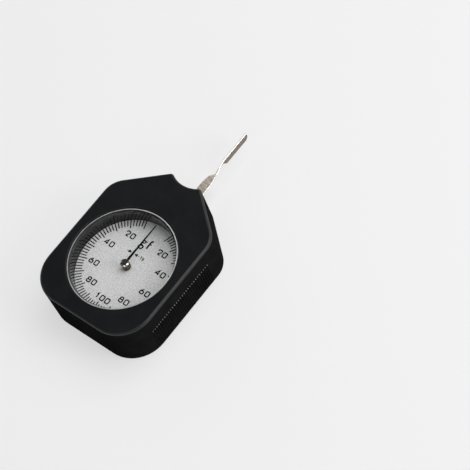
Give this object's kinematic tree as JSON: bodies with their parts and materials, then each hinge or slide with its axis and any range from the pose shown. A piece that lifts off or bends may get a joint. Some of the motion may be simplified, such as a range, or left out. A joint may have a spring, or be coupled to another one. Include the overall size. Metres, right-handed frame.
{
  "type": "dial tension gauge",
  "caption": "Palm-held force gauge: a twisted steel stylus swings both ways from a black moulded case and turns a pointer over a double dial scale.",
  "frame": {"origin": "on the back face, under the centre of the dial", "axes": "+Z out of the dial, +Y from the dial's centre to the stylus, +X to the right of the dial"},
  "size_m": [0.0608, 0.1162, 0.0235],
  "materials": {
    "case_black": "satin black moulded plastic",
    "rim_black": "gloss black plastic",
    "clear": "clear polished",
    "dial_silver": "fine grained silver print ground",
    "brass": "brushed brass",
    "steel": "turned steel",
    "stylus_steel": "bright ground spring steel",
    "spring_steel": "blued spring steel",
    "needle_black": "matt black paint",
    "hub_brass": "polished nickel brass",
    "screw_black": "blackened steel"
  },
  "bodies": {
    "case": {"front_case": "case_black", "back_cover": "case_black", "cover_screws": "screw_black", "crystal": "clear", "dial_rim": "rim_black", "dial_plate": "dial_silver", "front_plate": "brass", "rear_plate": "brass", "pillars": "brass", "pillar_screws": "steel", "standoffs": "steel", "pointer_bushes": "brass", "lever_bushes": "brass", "stop_pins": "steel", "measuring_spring": "spring_steel", "spring_stud": "brass", "hairspring": "spring_steel", "hairspring_stud": "brass"},
    "lever": {"stylus": "stylus_steel", "stylus_holder": "steel", "stylus_screws": "steel", "lever_arbor": "steel", "sector_gear": "brass", "sector_screws": "steel", "spring_collet": "brass"},
    "pointer": {"pointer_arbor": "steel", "pinion": "brass", "hairspring_collet": "brass", "pointer_bush": "hub_brass", "pointer_needle": "needle_black", "pointer_cap": "hub_brass"}
  },
  "joints": [
    {"name": "stylus_swing", "type": "hinge", "parent": "case", "child": "lever", "pos_m": [0, 0.032, 0], "axis": [0, 0, 1], "range_deg": [-12, 12], "stiffness_Nm_per_rad": 0.24, "deforming": ["measuring_spring"]},
    {"name": "pointer_turn", "type": "hinge", "parent": "case", "child": "pointer", "pos_m": [0, 0, 0], "axis": [0, 0, 1], "range_deg": [-180, 180], "deforming": ["hairspring"]}
  ],
  "couplings": [
    {"joint": "pointer_turn", "follows": "stylus_swing", "ratio": -15}
  ]
}
